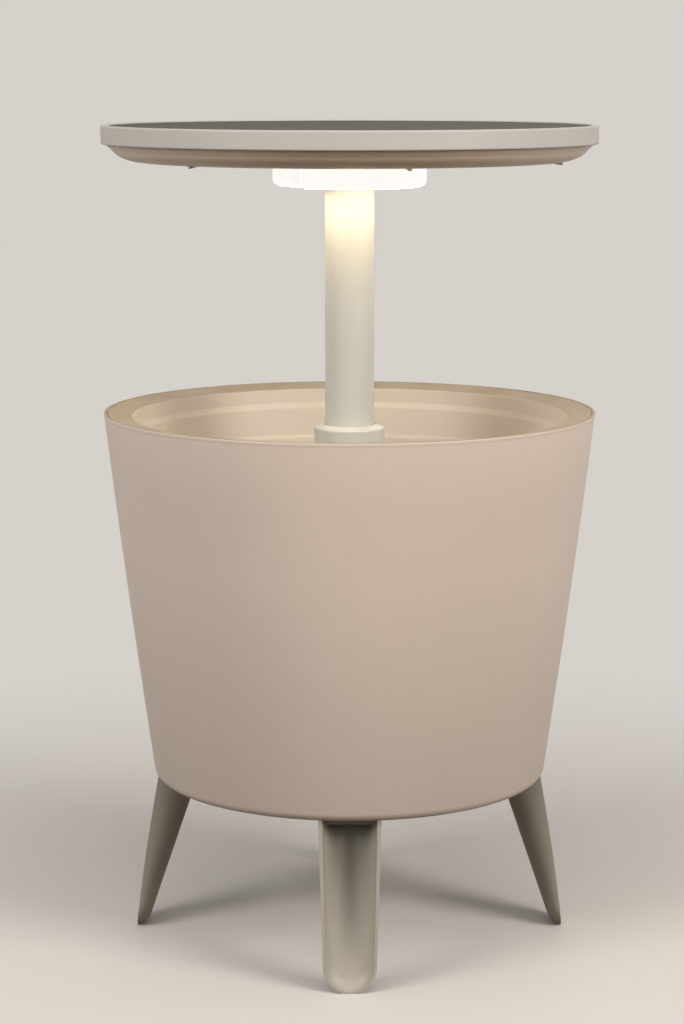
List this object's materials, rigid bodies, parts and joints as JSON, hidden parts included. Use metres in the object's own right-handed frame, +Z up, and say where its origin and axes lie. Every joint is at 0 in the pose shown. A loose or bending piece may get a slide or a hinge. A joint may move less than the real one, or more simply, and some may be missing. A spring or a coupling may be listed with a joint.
{
  "type": "ice bucket coffee table",
  "caption": "Round patio side table whose lid-like top rises on a central column over a tapered double-walled ice bucket on splayed trough legs, with a ring lamp and a drain.",
  "frame": {"origin": "on the floor under the column's axis, at the middle of the four feet", "axes": "+Z up along the column; -Y towards the front leg, the side the picture shows; +X to the right in the picture"},
  "size_m": [0.4962, 0.4962, 0.826],
  "materials": {
    "bucket_plastic": "warm cream moulded resin, fine satin grain",
    "liner_plastic": "warm cream moulded resin, smoother inside",
    "white_plastic": "off-white satin moulded resin",
    "leg_plastic": "off-white satin moulded resin, slightly greyer",
    "surface_plastic": "warm grey, fine non-slip grain",
    "inner_plastic": "plain moulded",
    "slide_plastic": "slippery bearing resin",
    "lit_diffuser": "opal translucent, lit warm white",
    "seal_rubber": "soft seal",
    "screw_steel": "zinc plated",
    "board_laminate": "white solder mask",
    "battery_jacket": "plain shrink sleeve"
  },
  "bodies": {
    "base": {"bucket_shell": "bucket_plastic", "bucket_liner": "liner_plastic", "guide_tube": "white_plastic", "guide_seal": "seal_rubber", "guide_collar": "white_plastic", "drain_spout": "white_plastic", "drain_seal": "seal_rubber", "drain_nut": "white_plastic", "leg_front": "leg_plastic", "leg_right": "leg_plastic", "leg_back": "leg_plastic", "leg_left": "leg_plastic", "leg_screw_front": "screw_steel", "leg_screw_right": "screw_steel", "leg_screw_back": "screw_steel", "leg_screw_left": "screw_steel", "guide_screw_1": "screw_steel", "guide_screw_2": "screw_steel", "collar_screw_1": "screw_steel", "collar_screw_2": "screw_steel"},
    "carriage": {"slide_bush": "slide_plastic"},
    "table": {"column_foot": "slide_plastic", "foot_pin": "screw_steel", "column_tube": "white_plastic", "head_pin": "screw_steel", "hub_flange": "inner_plastic", "hub_screw_1": "screw_steel", "hub_screw_2": "screw_steel", "hub_screw_3": "screw_steel", "hub_screw_4": "screw_steel", "table_underside": "white_plastic", "table_top": "white_plastic", "table_surface": "surface_plastic", "top_screw_1": "screw_steel", "top_screw_2": "screw_steel", "top_screw_3": "screw_steel", "top_screw_4": "screw_steel", "lamp_base": "inner_plastic", "light_board": "board_laminate", "lamp_diffuser": "lit_diffuser", "lamp_screw_1": "screw_steel", "lamp_screw_2": "screw_steel", "lamp_screw_3": "screw_steel", "battery_1": "battery_jacket", "battery_2": "battery_jacket", "battery_contact_1": "screw_steel", "battery_contact_2": "screw_steel"},
    "switch": {"switch_button": "white_plastic"},
    "battery_door": {"battery_cover": "lit_diffuser"},
    "plug": {"drain_plug": "white_plastic", "plug_ring": "seal_rubber"}
  },
  "joints": [
    {"name": "table_lift", "type": "slide", "parent": "base", "child": "carriage", "axis": [0, 0, 1], "range_m": [-0.256, 0]},
    {"name": "table_turn", "type": "hinge", "parent": "carriage", "child": "table", "pos_m": [0, 0, 0.458], "axis": [0, 0, 1], "range_deg": [0, 30]},
    {"name": "switch_press", "type": "slide", "parent": "table", "child": "switch", "axis": [0, 0, 1], "range_m": [0, 0.0015], "stiffness_N_per_m": 600, "springref_m": -0.001},
    {"name": "battery_cover_slide", "type": "slide", "parent": "table", "child": "battery_door", "axis": [-1, 0, 0], "range_m": [0, 0.03]},
    {"name": "drain_plug_pull", "type": "slide", "parent": "base", "child": "plug", "axis": [0, 0, -1], "range_m": [0, 0.03]}
  ]
}
